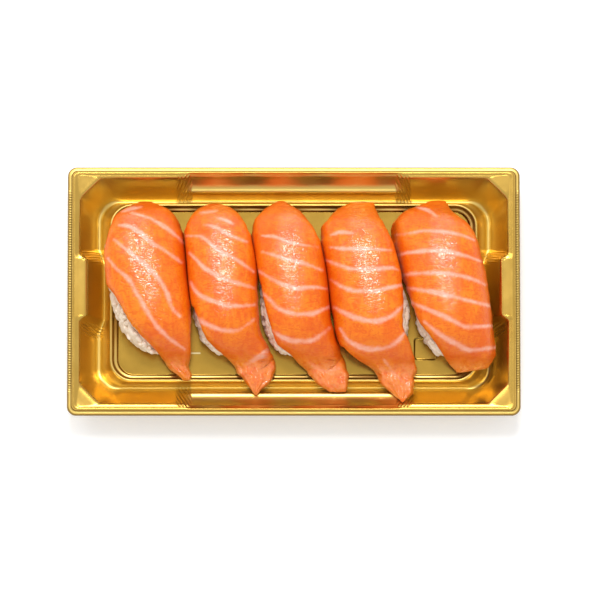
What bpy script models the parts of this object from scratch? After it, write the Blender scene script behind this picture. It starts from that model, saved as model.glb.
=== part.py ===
"""A takeaway tray of gold plastic that holds five pieces of salmon nigiri.

The origin is the middle of the tray's outline on the table, with +X along the tray's long side, +Y away from
the diner and +Z up. Lengths are in metres.
"""

import math
import random

import bmesh
import bpy
import numpy as np
from mathutils import Matrix, Vector

MM = 0.001

# The tray's outer size, the thickness of its sheet and the height of its highest line.
TRAY_LENGTH = 190 * MM
TRAY_WIDTH = 105.2 * MM
SHEET = 0.7 * MM
FLOOR_HEIGHT = 8.3 * MM

# The bead round the floor: the insets of its inner foot from the tray's ends and sides, and its height.
BEAD_END = 21.2 * MM
BEAD_SIDE = 18.1 * MM
BEAD_HEIGHT = 10.8 * MM

# The tab in the middle of each short side, and the ridge along the middle of each long side.
TAB_HALF = 12 * MM
TAB_END_SLOPE = 2 * MM
TAB_SHIFT = 1.6 * MM
RIDGE_HALF = 43 * MM
RIDGE_END_SLOPE = 3 * MM

# The clearance that every piece of food keeps from the tray and from the piece next to it.
GAP = 0.35 * MM

# A block of pressed rice: half its length, its height, its widest line's height, how far its round underside
# would reach below that line if it weren't cut off flat, and how square its outline is.
RICE_HALF_LENGTH = 26.5 * MM
RICE_HEIGHT = 19.5 * MM
RICE_WIDEST = 8 * MM
RICE_UNDER = 9 * MM
RICE_SQUARENESS = 2.3

# The grains that show: their size, their number on a block, and the share of the block's height they lie between.
GRAIN_LENGTH = 5.4 * MM
GRAIN_WIDTH = 2.7 * MM
GRAIN_SUNK = 0.12 * GRAIN_WIDTH
GRAINS_A_BLOCK = 18
GRAINS_TRIED = 8 * GRAINS_A_BLOCK
GRAINS_LOW = 0.09
GRAINS_HIGH = 0.72

# A slice of salmon: thickness at its middle, the share of it that is left at its edges and ends, and the distance
# between its sections.
SLICE_THICKNESS = 5.2 * MM
SLICE_EDGE_SHARE = 0.42
SLICE_END_SHARE = 0.45
SLICE_POINTS_ACROSS = 9
SLICE_STEEPEST = 1.8
SECTION_STEP = 4.2 * MM

# How a slice drapes: the room over the rice, the distances behind and before the rice's middle at which it has come
# down to the rice's widest line, how late it bends down there and at its sides, how steeply it hangs beside the
# rice, and the height over which it bends out onto the tray.
DRAPE_ROOM = 1.6 * MM
DRAPE_BACK = 33 * MM
DRAPE_FRONT = 29 * MM
DRAPE_END_BEND = 3.6
DRAPE_SIDE_BEND = 2.8
HANG_SLOPE = 2.6
REST_BLEND = 5 * MM

# The gap between two slices that lie side by side.
SLICE_GAP = 0.7 * MM

GOLDEN_ANGLE = math.pi * (3 - math.sqrt(5))
GRAIN_SEED = 40

GOLD = ("gold_plastic", (0.83, 0.60, 0.20), 0.22, 1.0)
RICE = ("cooked_rice", (0.88, 0.85, 0.78), 0.45, 0.0)
SALMON = ("raw_salmon", (0.93, 0.33, 0.07), 0.28, 0.0)


class Level:
    """One closed line of the tray's upper face, given by its inset from the outline and its height in four zones:
    the tab, the corner pocket's run along the short side, its run along the long side, and the ridge's stretch.
    """

    def __init__(self, insets, heights, corner, end_slope=0.0):
        self.tab, self.end, self.side, self.ridge = (v * MM for v in insets)
        self.heights = [v * MM for v in heights]
        self.corner = corner
        self.end_slope = end_slope * MM


def rounded(radius):
    """A corner that is an arc: the leg of the 45 degree cut that the arc touches, and the arc's radius."""
    return radius * MM * (2 - math.sqrt(2)), radius * MM


def chamfered(leg, radius):
    """A corner cut at 45 degrees, with both ends of the cut rounded."""
    return leg * MM, radius * MM


# From the skirt's lower edge, over the rim, down the wall, through the moat and over the bead to the floor.
LEVELS = [
    Level((0.0, 0.0, 0.0, 0.0), (13.4, 13.4, 13.4, 13.4), rounded(3.9)),
    Level((0.2, 0.2, 0.2, 0.2), (15.0, 15.0, 15.0, 15.0), rounded(3.7)),
    Level((1.8, 1.8, 1.8, 1.8), (15.1, 15.1, 15.1, 15.1), rounded(2.4)),
    Level((2.2, 2.2, 2.2, 2.2), (16.5, 16.5, 16.5, 16.5), rounded(2.2)),
    Level((3.2, 3.0, 2.8, 2.6), (17.0, 17.0, 17.0, 17.0), rounded(2.0)),
    Level((5.0, 4.2, 3.5, 3.1), (16.9, 16.6, 16.6, 16.4), rounded(2.0)),
    Level((8.0, 5.1, 4.6, 4.2), (16.7, 16.2, 16.2, 15.6), chamfered(8.4, 3.0), 0.0),
    Level((8.8, 5.8, 5.4, 4.9), (15.6, 15.0, 15.0, 14.4), chamfered(8.2, 3.0), 0.3),
    Level((10.2, 7.2, 7.1, 7.2), (12.2, 11.9, 12.0, 11.6), chamfered(7.6, 3.5), 1.0),
    Level((11.6, 8.5, 8.7, 7.9), (9.0, 8.8, 9.2, 11.1), chamfered(6.9, 4.0), 1.9),
    Level((13.0, 9.8, 10.4, 10.4), (5.7, 5.6, 6.3, 10.9), chamfered(6.2, 4.5), 2.8),
    Level((14.4, 11.1, 12.0, 12.0), (2.9, 2.5, 3.6, 4.7), chamfered(5.5, 5.0), 3.6),
    Level((15.1, 12.0, 12.6, 12.6), (1.6, 0.7, 3.1, 4.2), chamfered(5.2, 6.0), 4.0),
    Level((15.8, 14.0, 13.7, 13.7), (2.2, 0.7, 3.1, 4.2), chamfered(5.0, 7.0), 3.6),
    Level((17.5, 17.5, 14.6, 14.6), (10.3, 10.3, 10.3, 10.3), rounded(9.6)),
    Level((18.3, 18.3, 15.4, 15.4), (10.8, 10.8, 10.8, 10.8), rounded(9.0)),
    Level((19.1, 19.1, 16.1, 16.1), (10.4, 10.4, 10.4, 10.4), rounded(8.3)),
    Level((20.9, 20.9, 17.8, 17.8), (8.3, 8.3, 8.3, 8.3), rounded(6.6)),
]


class Nigiri:
    """One piece, in millimetres: a rice block's middle, half width and lean, and the left and the right edge of its
    slice as places (y, x) from head to tail.
    """

    def __init__(self, rice, half_width, lean, left, right):
        self.rice_x, self.rice_y = (v * MM for v in rice)
        self.half_width = half_width * MM
        self.lean = lean
        self.left, self.right = np.array(left) * MM, np.array(right) * MM
        self.head, self.tail = self.left[0, 0], self.left[-1, 0]

    def axis_x(self, y):
        return self.rice_x + self.lean * (y - self.rice_y)


NIGIRI = [
    Nigiri(
        rice=(-62.0, 1.4), half_width=14.3, lean=-0.19,
        left=[(38.5, -64.4), (34.9, -71.1), (30.3, -75.3), (21.8, -77.9), (14.2, -79.4), (2.8, -78.7),
              (-3.6, -74.9), (-16.3, -67.4), (-24.7, -59.0), (-31.5, -52.3), (-37.6, -46.0)],
        right=[(38.5, -60.3), (34.5, -52.7), (28.2, -47.7), (21.8, -46.0), (4.9, -44.5), (-14.1, -42.9),
               (-24.7, -42.9), (-33.2, -43.5), (-37.6, -44.3)],
    ),
    Nigiri(
        rice=(-29.7, 0.9), half_width=12.2, lean=-0.06,
        left=[(37.7, -34.7), (34.5, -40.6), (28.6, -44.3), (23.9, -45.6), (11.2, -44.7), (-3.6, -43.3),
              (-12.0, -40.6), (-20.5, -37.2), (-25.6, -32.2), (-30.6, -25.9), (-37.4, -21.3), (-43.8, -16.3)],
        right=[(37.7, -32.2), (35.4, -26.3), (29.4, -21.3), (19.3, -17.5), (0.7, -15.0), (-16.3, -14.2),
               (-24.7, -10.0), (-31.9, -7.5), (-38.7, -10.0), (-43.8, -14.6)],
    ),
    Nigiri(
        rice=(-1.2, 0.5), half_width=12.2, lean=-0.05,
        left=[(38.8, -6.6), (34.5, -12.5), (26.1, -17.5), (21.8, -17.5), (13.4, -15.8), (-3.6, -12.9),
              (-16.3, -9.8), (-23.5, -7.0), (-27.3, -1.6), (-32.3, 5.1), (-37.0, 8.9), (-43.6, 15.2)],
        right=[(38.8, -4.1), (34.5, 1.8), (26.1, 7.8), (17.6, 11.4), (4.9, 14.1), (-12.0, 15.4),
               (-24.7, 19.4), (-32.8, 23.1), (-40.8, 23.5), (-43.6, 20.6)],
    ),
    Nigiri(
        rice=(32.0, -1.0), half_width=13.6, lean=-0.17,
        left=[(38.4, 24.4), (34.9, 18.1), (30.3, 14.7), (25.2, 11.3), (19.3, 11.4), (4.9, 15.0),
              (-9.9, 17.7), (-20.5, 21.0), (-28.1, 26.1), (-33.6, 34.0), (-41.6, 39.5), (-47.2, 44.9)],
        right=[(38.4, 33.6), (32.4, 35.5), (23.9, 39.5), (9.1, 43.9), (-3.6, 45.8), (-15.4, 45.5),
               (-24.7, 49.1), (-34.5, 51.4), (-42.5, 50.4), (-47.2, 46.6)],
    ),
    Nigiri(
        rice=(63.4, 0.0), half_width=12.8, lean=-0.08,
        left=[(39.0, 57.9), (33.7, 46.6), (26.5, 40.7), (17.6, 42.4), (0.7, 47.0), (-14.1, 52.0),
              (-22.6, 58.7), (-30.2, 64.4), (-34.2, 69.2)],
        right=[(39.0, 63.8), (33.7, 66.7), (26.1, 74.2), (15.5, 78.4), (-1.4, 82.0), (-18.4, 83.9),
               (-26.8, 84.7), (-32.1, 81.4), (-34.2, 70.9)],
    ),
]

# The heights of the tray's front wall, moat and bead that a tail lies on: inset from the outline and height.
FRONT_REST = [(3.1, 17.4), (5.4, 15.4), (7.8, 11.9), (15.4, 11.6), (30.0, 11.6)]


def clear_scene():
    for obj in list(bpy.data.objects):
        bpy.data.objects.remove(obj)


def new_collection(name):
    collection = bpy.data.collections.new(name)
    bpy.context.scene.collection.children.link(collection)
    return collection


def material(spec):
    name, colour, roughness, metallic = spec
    made = bpy.data.materials.get(name) or bpy.data.materials.new(name)
    made.use_nodes = True
    shader = made.node_tree.nodes["Principled BSDF"]
    shader.inputs["Base Color"].default_value = (*colour, 1.0)
    shader.inputs["Roughness"].default_value = roughness
    shader.inputs["Metallic"].default_value = metallic
    return made


def object_from(bm, name, collection, spec):
    mesh = bpy.data.meshes.new(name)
    bm.to_mesh(mesh)
    bm.free()
    mesh.materials.append(material(spec))
    obj = bpy.data.objects.new(name, mesh)
    collection.objects.link(obj)
    return obj


def skin(bm, rings):
    """Faces between closed rings of equal length, one after another."""
    for ring, following in zip(rings, rings[1:]):
        for i in range(len(ring)):
            j = (i + 1) % len(ring)
            bm.faces.new((ring[i], ring[j], following[j], following[i]))


def closed_body(loops, name, collection, spec):
    """A body through closed loops of points, with a face over its first and its last loop."""
    bm = bmesh.new()
    rings = [[bm.verts.new(p) for p in loop] for loop in loops]
    skin(bm, rings)
    bm.faces.new(rings[0])
    bm.faces.new(rings[-1])
    bmesh.ops.recalc_face_normals(bm, faces=bm.faces[:])
    return object_from(bm, name, collection, spec)


def fillet(before, corner, after, radius, steps):
    """Points of an arc that rounds a corner, or the corner itself drawn in where the legs are too short."""
    to_before, to_after = before - corner, after - corner
    turn = math.pi - to_before.angle(to_after)
    if turn < 1e-4:
        return [corner.copy() for _ in range(steps + 1)]
    reach = min(radius * math.tan(turn / 2), 0.499 * to_before.length, 0.499 * to_after.length)
    start = corner + to_before.normalized() * reach
    end = corner + to_after.normalized() * reach
    points = []
    for step in range(steps + 1):
        t = step / steps
        first, second = start.lerp(corner, t), corner.lerp(end, t)
        points.append(first.lerp(second, t))
    return points


def quadrant(level, sign_x, sign_y):
    """The level's line in one quarter, from the middle of the short side to the middle of the long side."""
    x_edge, y_edge = TRAY_LENGTH / 2, TRAY_WIDTH / 2
    leg, radius = level.corner
    tab_end = TAB_HALF + sign_y * TAB_SHIFT
    pocket_start = tab_end + TAB_END_SLOPE + level.end_slope
    ridge_end = RIDGE_HALF
    pocket_end = ridge_end + RIDGE_END_SLOPE + level.end_slope
    z_tab, z_end, z_side, z_ridge = level.heights
    corners = [
        (Vector((x_edge - level.tab, 0, z_tab)), 0, 0),
        (Vector((x_edge - level.tab, tab_end, z_tab)), 1.5 * MM, 1),
        (Vector((x_edge - level.end, pocket_start, z_end)), 1.5 * MM, 1),
        (Vector((x_edge - level.end, y_edge - level.side - leg, z_end)), radius, 2),
        (Vector((x_edge - level.end - leg, y_edge - level.side, z_side)), radius, 2),
        (Vector((pocket_end, y_edge - level.side, z_side)), 1.5 * MM, 1),
        (Vector((ridge_end, y_edge - level.ridge, z_ridge)), 1.5 * MM, 1),
        (Vector((0, y_edge - level.ridge, z_ridge)), 0, 0),
    ]
    points = [corners[0][0]]
    for (before, _, _), (corner, arc, steps), (after, _, _) in zip(corners, corners[1:], corners[2:]):
        points += fillet(before, corner, after, arc, steps)
    points.append(corners[-1][0])
    return [Vector((sign_x * p.x, sign_y * p.y, p.z)) for p in points]


def level_loop(level):
    """The level's whole closed line, anticlockwise from the middle of the right-hand side."""
    right_back = quadrant(level, 1, 1)
    left_back = quadrant(level, -1, 1)[::-1]
    left_front = quadrant(level, -1, -1)
    right_front = quadrant(level, 1, -1)[::-1]
    return right_back[:-1] + left_back[:-1] + left_front[:-1] + right_front[:-1]


def make_tray(collection):
    """The upper face is one open surface that faces up, and the sheet's thickness is added under it."""
    bm = bmesh.new()
    rings = [[bm.verts.new(p) for p in level_loop(level)] for level in LEVELS]
    skin(bm, rings)
    floor = bm.faces.new(rings[-1])
    bmesh.ops.recalc_face_normals(bm, faces=bm.faces[:])
    if floor.normal.z < 0:
        bmesh.ops.reverse_faces(bm, faces=bm.faces[:])
    tray = object_from(bm, "tray", collection, GOLD)
    sheet = tray.modifiers.new("sheet", "SOLIDIFY")
    sheet.thickness = SHEET
    sheet.offset = -1
    return tray


def block_point(nigiri, along, around):
    """A point of the rice block's skin: along is the angle from end to end, around is the angle about its length."""

    def bent(value):
        return math.copysign(abs(value) ** (2 / RICE_SQUARENESS), value)

    y = nigiri.rice_y + RICE_HALF_LENGTH * bent(math.cos(along))
    ring = abs(math.sin(along)) ** (2 / RICE_SQUARENESS)
    x = nigiri.axis_x(y) + nigiri.half_width * ring * bent(math.cos(around))
    rise = bent(math.sin(around)) * ring
    z = RICE_WIDEST + rise * (RICE_HEIGHT - RICE_WIDEST if rise > 0 else RICE_UNDER)
    return Vector((x, y, FLOOR_HEIGHT + GAP + max(0.0, z)))


def make_grain(index, centre, facing, collection, rng):
    """One grain of cooked rice that lies on the block's skin, sunk into it by a little under half."""
    bm = bmesh.new()
    bmesh.ops.create_uvsphere(bm, u_segments=5, v_segments=4, radius=0.5)
    stretch = Matrix.Diagonal((GRAIN_WIDTH, GRAIN_WIDTH, GRAIN_LENGTH, 1.0))
    lie = facing.to_track_quat("X", "Z").to_matrix().to_4x4()
    roll = Matrix.Rotation(rng.uniform(0.9, 2.25), 4, "X")
    bmesh.ops.transform(bm, matrix=Matrix.Translation(centre) @ lie @ roll @ stretch, verts=bm.verts[:])
    return object_from(bm, f"grain_{index}", collection, RICE)


def place_grain(index, nigiri, collection, rng):
    """A grain at its own bearing and height on the block's skin, lifted off the floor, or None if it isn't free."""
    bearing = index * GOLDEN_ANGLE
    ring_x, ring_y = math.cos(bearing), math.sin(bearing)
    reach = (abs(ring_x) ** RICE_SQUARENESS + abs(ring_y) ** RICE_SQUARENESS) ** (-1 / RICE_SQUARENESS)
    height = RICE_HEIGHT * (GRAINS_LOW + (GRAINS_HIGH - GRAINS_LOW) * ((index * 0.37) % 1.0))
    above = (height - RICE_WIDEST) / (RICE_HEIGHT - RICE_WIDEST)
    below = (RICE_WIDEST - height) / RICE_UNDER
    belt = (1 - max(above, below, 0.0) ** RICE_SQUARENESS) ** (1 / RICE_SQUARENESS)
    y = nigiri.rice_y + RICE_HALF_LENGTH * ring_y * reach * belt
    x = nigiri.axis_x(y) + nigiri.half_width * ring_x * reach * belt
    facing = Vector((ring_x / nigiri.half_width, ring_y / RICE_HALF_LENGTH, 0)).normalized()
    centre = Vector((x, y, FLOOR_HEIGHT + GAP + height)) - facing * GRAIN_SUNK
    grain = make_grain(index, centre, facing, collection, rng)
    lowest = min(v.co.z for v in grain.data.vertices)
    lift = max(0.0, FLOOR_HEIGHT + GAP - lowest)
    grain.data.transform(Matrix.Translation((0, 0, lift)))
    if all(is_free(v.co) for v in grain.data.vertices):
        return grain
    bpy.data.objects.remove(grain)
    return None


def make_rice(number, nigiri, collection):
    """The block is a smaller core, and the grains that show below the slice are fused to it."""
    name = f"rice_{number}"
    rows, spokes = 10, 16
    loops = [
        [block_point(nigiri, math.pi * row / rows, 2 * math.pi * spoke / spokes) for spoke in range(spokes)]
        for row in range(1, rows)
    ]
    block = closed_body(loops, name, collection, RICE)

    grains = new_collection(f"{name}_grains")
    rng = random.Random(GRAIN_SEED + number)
    placed = 0
    for index in range(GRAINS_TRIED):
        if place_grain(index, nigiri, grains, rng):
            placed += 1
        if placed == GRAINS_A_BLOCK:
            break

    union = block.modifiers.new("grains", "BOOLEAN")
    union.operation = "UNION"
    union.operand_type = "COLLECTION"
    union.collection = grains
    fused = bpy.data.meshes.new_from_object(block.evaluated_get(bpy.context.evaluated_depsgraph_get()))
    block.modifiers.clear()
    block.data = fused
    for grain in list(grains.objects):
        bpy.data.objects.remove(grain)
    bpy.data.collections.remove(grains)
    return block


def through(points, place):
    """A smooth curve through points (place, value), read at a place. It doesn't swing out between its points."""
    at, value = points[::-1, 0], points[::-1, 1]
    step = np.diff(at)
    steep = np.diff(value) / step
    slope = np.concatenate([steep[:1], np.zeros(len(at) - 2), steep[-1:]])
    for i in range(1, len(at) - 1):
        if steep[i - 1] * steep[i] > 0:
            share = (step[i] + 2 * step[i - 1]) / (3 * (step[i] + step[i - 1]))
            slope[i] = steep[i - 1] * steep[i] / (share * steep[i] + (1 - share) * steep[i - 1])
    i = int(np.clip(np.searchsorted(at, place) - 1, 0, len(step) - 1))
    t = float(np.clip((place - at[i]) / step[i], 0, 1))
    from_low = (2 * t + 1) * (1 - t) ** 2 * value[i] + t * (1 - t) ** 2 * step[i] * slope[i]
    from_high = t * t * (3 - 2 * t) * value[i + 1] - t * t * (1 - t) * step[i] * slope[i + 1]
    return float(from_low + from_high)


def slice_edges(nigiri, y):
    """A slice's left and right edge at y, parted from the slices beside it, or None beyond its two ends."""
    if not nigiri.tail <= y <= nigiri.head:
        return None
    left, right = through(nigiri.left, y), through(nigiri.right, y)
    number = NIGIRI.index(nigiri)
    for other in NIGIRI[max(0, number - 1):number + 2]:
        if other is nigiri or not other.tail <= y <= other.head:
            continue
        if other.rice_x < nigiri.rice_x:
            edge = through(other.right, y) + SLICE_GAP
            left = max(left, (left + edge) / 2)
        else:
            edge = through(other.left, y) - SLICE_GAP
            right = min(right, (right + edge) / 2)
    return left, right


def is_free(point):
    """Whether a grain's point keeps clear of the tray's bead and of every slice."""
    on_floor = abs(point.x) < TRAY_LENGTH / 2 - BEAD_END and abs(point.y) < TRAY_WIDTH / 2 - BEAD_SIDE
    if point.z < BEAD_HEIGHT + GAP and not on_floor:
        return False
    for nigiri in NIGIRI:
        edges = slice_edges(nigiri, point.y)
        if edges and edges[0] - GAP < point.x < edges[1] + GAP and point.z > slice_under(nigiri, point) - GAP:
            return False
    return True


def slice_under(nigiri, point):
    """The height of the slice's lower face: it lies over the rice, hangs beside it and rests on the tray."""
    insets, heights = zip(*FRONT_REST)
    rest = float(np.interp((TRAY_WIDTH / 2 + point.y) / MM, insets, heights)) * MM
    along = point.y - nigiri.rice_y
    end = 1 - (abs(along) / (DRAPE_BACK if along > 0 else DRAPE_FRONT)) ** DRAPE_END_BEND
    beside = abs(point.x - nigiri.axis_x(point.y)) / (nigiri.half_width + DRAPE_ROOM)
    bend = max(0.0, 1 - beside**DRAPE_SIDE_BEND) ** (1 / DRAPE_SIDE_BEND)
    crown = RICE_HEIGHT - RICE_WIDEST + DRAPE_ROOM
    hang = max(0.0, beside - 1) * nigiri.half_width * HANG_SLOPE
    top = FLOOR_HEIGHT + GAP + RICE_WIDEST + crown * (min(end, 0.0) + max(end, 0.0) * bend) - hang
    share = max(0.0, 1 - abs(top - rest) / REST_BLEND)
    return max(top, rest) + REST_BLEND * share * share / 4


def slice_section(nigiri, y, share):
    """One closed line round the slice at y: its lower face from left to right, then its upper face back."""
    left, right = slice_edges(nigiri, y)
    centre, half = (left + right) / 2, (right - left) / 2
    inner = max(half - 0.5 * SLICE_THICKNESS * SLICE_EDGE_SHARE, 0.6 * half)
    step = Vector((0.3 * MM, 0, 0))
    lower, upper = [], []
    for i in range(SLICE_POINTS_ACROSS):
        v = math.sin(math.pi * (i / (SLICE_POINTS_ACROSS - 1) - 0.5))
        below = Vector((centre + v * inner, y, 0))
        below.z = slice_under(nigiri, below)
        above = Vector((centre + v * half, y, 0))
        slope = (slice_under(nigiri, above + step) - slice_under(nigiri, above - step)) / (2 * step.x)
        steep = min(math.sqrt(1 + slope * slope), SLICE_STEEPEST)
        thickness = SLICE_THICKNESS * share * (1 - (1 - SLICE_EDGE_SHARE) * v**4)
        above.z = slice_under(nigiri, above) + thickness * steep
        lower.append(below)
        upper.append(above)
    return lower + upper[::-1]


def make_slice(number, nigiri, collection):
    """The slice is lofted through sections across it, thinner towards its two ends."""
    first, last = math.ceil(nigiri.tail / SECTION_STEP + 0.4), math.floor(nigiri.head / SECTION_STEP - 0.4)
    places = [nigiri.head, *(SECTION_STEP * i for i in range(last, first - 1, -1)), nigiri.tail]
    sections = []
    for y in places:
        t = (y - nigiri.head) / (nigiri.tail - nigiri.head)
        share = SLICE_END_SHARE + (1 - SLICE_END_SHARE) * math.sin(math.pi * t) ** 0.5
        sections.append(slice_section(nigiri, y, share))
    return closed_body(sections, f"salmon_{number}", collection, SALMON)


def main():
    clear_scene()
    parts = new_collection("sushi_tray")
    make_tray(parts)
    for number, nigiri in enumerate(NIGIRI, 1):
        make_rice(number, nigiri, parts)
        make_slice(number, nigiri, parts)


main()
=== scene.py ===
"""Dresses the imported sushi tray: a gold tray of formed plastic with five pieces of salmon nigiri.

It is laid out as an add-on with a panel in the sidebar of the 3D view, and it is run as a script, which
builds every piece and the stage and hands them over. Lengths are in metres, +X runs along the tray and
+Y away from the diner.
"""

import math
import random

import bpy
import numpy as np
from mathutils import Matrix, Vector, kdtree, noise


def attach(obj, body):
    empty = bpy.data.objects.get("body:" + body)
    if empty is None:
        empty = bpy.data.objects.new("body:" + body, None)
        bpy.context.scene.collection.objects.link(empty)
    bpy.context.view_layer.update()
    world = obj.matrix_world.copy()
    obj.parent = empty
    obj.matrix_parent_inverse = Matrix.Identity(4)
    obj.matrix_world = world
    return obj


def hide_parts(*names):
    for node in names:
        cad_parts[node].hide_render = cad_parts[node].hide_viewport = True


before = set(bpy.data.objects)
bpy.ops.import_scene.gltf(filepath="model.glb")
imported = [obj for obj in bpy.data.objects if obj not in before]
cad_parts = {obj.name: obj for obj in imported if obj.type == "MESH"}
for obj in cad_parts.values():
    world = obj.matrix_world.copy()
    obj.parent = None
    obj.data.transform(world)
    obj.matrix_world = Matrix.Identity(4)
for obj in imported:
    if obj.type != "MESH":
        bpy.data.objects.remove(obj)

bl_info = {
    "name": "Sushi tray",
    "version": (1, 0, 0),
    "blender": (4, 5, 0),
    "location": "3D View > Sidebar > Sushi tray",
    "description": "Builds a gold takeaway tray with salmon nigiri and a pale stage for it",
    "category": "Add Mesh",
}

MM = 0.001

# Tray: its size, its level floor, the bead around the floor, and the raised parts between the corner
# pockets, a tab on each short side and a ridge on each long one. The tabs sit a little towards the back.
TRAY_LENGTH = 190 * MM
TRAY_WIDTH = 105.2 * MM
FLOOR_HEIGHT = 8.3 * MM
BEAD_END = 20.6 * MM
BEAD_SIDE = 17.6 * MM
BEAD_HEIGHT = 10.8 * MM
TAB_HALF = 12 * MM
TAB_END_SLOPE = 2 * MM
TAB_SHIFT = 1.6 * MM
RIDGE_HALF = 43 * MM
RIDGE_END_SLOPE = 3 * MM
END_BEND = 1.5 * MM

# The outline's corners and the level floor's insets from the short and the long sides, in millimetres.
TRAY_CORNER = 3.9
FLOOR_END = 21.2
FLOOR_SIDE = 18.1

# The tray's mesh: points on each bend, points on each straight run of a quarter of a level, how its
# profile is rounded, and the rings that close the floor, as shares of the last level.
END_BEND_STEPS = 6
CORNER_STEPS = 10
RUN_PIECES = (16, 4, 24, 3, 12, 4, 24)
PROFILE_CUTS = (0.2, 0.25)
FLOOR_RINGS = (0.995, 0.98, 0.9, 0.5, 0)

# Rice: the block's size, the height of its widest line, and how square its ovals are.
GAP = 0.35 * MM
RICE_HALF_LENGTH = 26.5 * MM
RICE_HEIGHT = 19.5 * MM
RICE_WIDEST = 8 * MM
RICE_UNDER = 9 * MM
RICE_SQUARENESS = 2.3
BLOCK_ROWS = 30
BLOCK_SPOKES = 48

# A grain in millimetres, and how grains are spread over a block: the step from one height to the next,
# the part of the block's height that they take up, and the ranges that chance draws from.
GRAIN_WIDTH, GRAIN_DEPTH, GRAIN_LENGTH = 2.6, 2.35, 5.9
GRAIN_BEND = 1.1
GOLDEN_ANGLE = math.pi * (3 - math.sqrt(5))
GRAIN_HEIGHT_STEP = 0.37
GRAIN_LOWEST, GRAIN_REACH = 0.03, 0.9
GRAIN_JITTER = 0.02
GRAIN_UPWARD = 0.08 / (14 * MM)
GRAIN_SINK = (-0.9, 0.6)
GRAIN_TILT = 0.35
GRAIN_SIZES = (0.86, 1.08)
GRAIN_LIFT = 0.15 * MM
GRAIN_CLEARANCE = 0.1 * MM

# How a slice drapes: the room over the rice, the distances behind and before the rice's middle at which
# it has come down to the rice's widest line, how late it bends down there and at its sides, how steeply
# it hangs beside the rice, and the height over which it bends out onto the tray.
DRAPE_ROOM = 0.9 * MM
DRAPE_BACK = 33 * MM
DRAPE_FRONT = 29 * MM
DRAPE_END_BEND = 3.6
DRAPE_SIDE_BEND = 2.6
HANG_SLOPE = 2.6
REST_BLEND = 5 * MM

# A slice's form: the share of its half width that its lower face takes, the share of its thickness at head
# and tail, the part of its thickness that its sides lose, the heights of its relief, how deep its fat lines
# lie, and the waves to the metre of each kind of unevenness.
LOWER_SHARE = 0.9
END_THICKNESS = 0.62
SIDE_LOSS = 0.25
SOFT_HEIGHT, SOFT_WAVES = 0.35 * MM, 130.0
FINE_HEIGHT, FINE_WAVES = 0.10 * MM, 380.0
FOLD_HEIGHT, FOLD_WAVES = 1.0 * MM, 260.0
PLEAT_HEIGHT, PLEAT_WAVES, PLEATS = 0.3 * MM, 120.0, 11
NICK_WAVES, FRAY_WAVES = 230.0, 420.0
FAT_DEPTH, FAT_WAVES = 0.12 * MM, 260.0
TIP_SETBACK, TIP_LENGTH = 2 * MM, 4 * MM
CREST_X, CREST_Y, CREST_WIDTH, CREST_LENGTH = 1 * MM, 14 * MM, 6.5 * MM, 25 * MM

# A slice's ragged edge, in millimetres: how far it is set in, how deep its fine fraying and its nicks are,
# how much deeper the nicks get over the last stretch to the tip, and the room that it needs to be ragged.
EDGE_INSET, FRAY_DEPTH, NICK_DEPTH, TIP_NICKS = 0.45, 0.3, 0.2, 1.3
TIP_STRETCH, RAGGED_ROOM = 6, 0.5

# Where a tail lies over the tray's front wall, moat and bead, in millimetres: inset from the outline and
# height.
FRONT_REST = [(3.1, 17.3), (5.2, 15.2), (7.8, 11.7), (15.4, 11.4), (30.0, 11.4)]

# A slice's mesh and edges: rows from head to tail, points across, how far the ragged edge stands out past
# the drawn one, the gap between two slices, and the room beside a slice where no other slice is near.
SLICE_ROWS = 190
SLICE_ACROSS = 72
EDGE_SPREAD = 0.4 * MM
SLICE_GAP = 0.06 * MM
OPEN_ROOM = 9 * MM

# The photo's view: its tilt off vertical, the camera's distance, the height of the plane that the scale
# holds for, the real size of a pixel in it, the picture's width in pixels, and the place at its middle.
VIEW_TILT = math.radians(8.3)
VIEW_DISTANCE = 3.0
VIEW_HEIGHT = 17 * MM
PIXEL = 0.419 * MM
PICTURE_WIDTH = 600
VIEW_MIDDLE = (2.6 * MM, -4.1 * MM, VIEW_HEIGHT)
SENSOR = 36

# The stage: the floor's size, and each light's place and size.
STAGE_SIZE = 6
KEY_PLACE, KEY_SIZE = (-1.2, 1.2, 2.1), (1.0, 1.0)
OVERHEAD_PLACE, OVERHEAD_SIZE = (0.0, -0.48, 3.25), (0.4, 0.4)
STRIP_PLACE, STRIP_SIZE = (0.0, 1.5, 2.6), (0.8, 1.0)

# Marks in the film, in millimetres: the recess in the floor, whose outline gets painted shade, the short
# line in the floor that is a painted highlight, the ribs beside the ridges and the tabs, with places first
# along and then across the side that they are on, the teeth, and the bounds of the shade painted on the
# rim and of the light painted on the walls. Where a mark begins or ends softly, both ends are given.
RECESS_PLACE, RECESS_HALF, RECESS_CORNER = (55.2, -23.6), (4.6, 4.6), 1.4
LINE_PLACE, LINE_HALF, LINE_CORNER = (-41.5, -25.4), (2.2, 0.15), 0.1
RIDGE_RIBS_PLACE, RIDGE_RIBS_HALF = (46.0, 44.0), (2.6, 4.6)
RIDGE_RIB_PITCH, RIDGE_RIB_SLANT = 1.5, 0.55
TAB_RIBS_PLACE, TAB_RIBS_HALF, TAB_RIB_PITCH, TAB_RIB_SLANT = (15.4, 84.6), (2.2, 3.6), 1.4, 0.4
RIBS_CORNER = 1.0
TOOTH_PITCH = 1.05
TEETH_FROM, TEETH_END = (93.1, 93.5), (40, 44)
RIM_INSIDE, LIP_INSIDE = (-3.4, -2.9), (-1.0, -0.6)
SKIRT_TOP, STEP_HEIGHT, STEP_HALF, WALL_TOP = (15.1, 14.9), 15.75, (0.4, 0.3), (16.2, 15.6)
FLOOR_CORNER = 6
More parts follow.
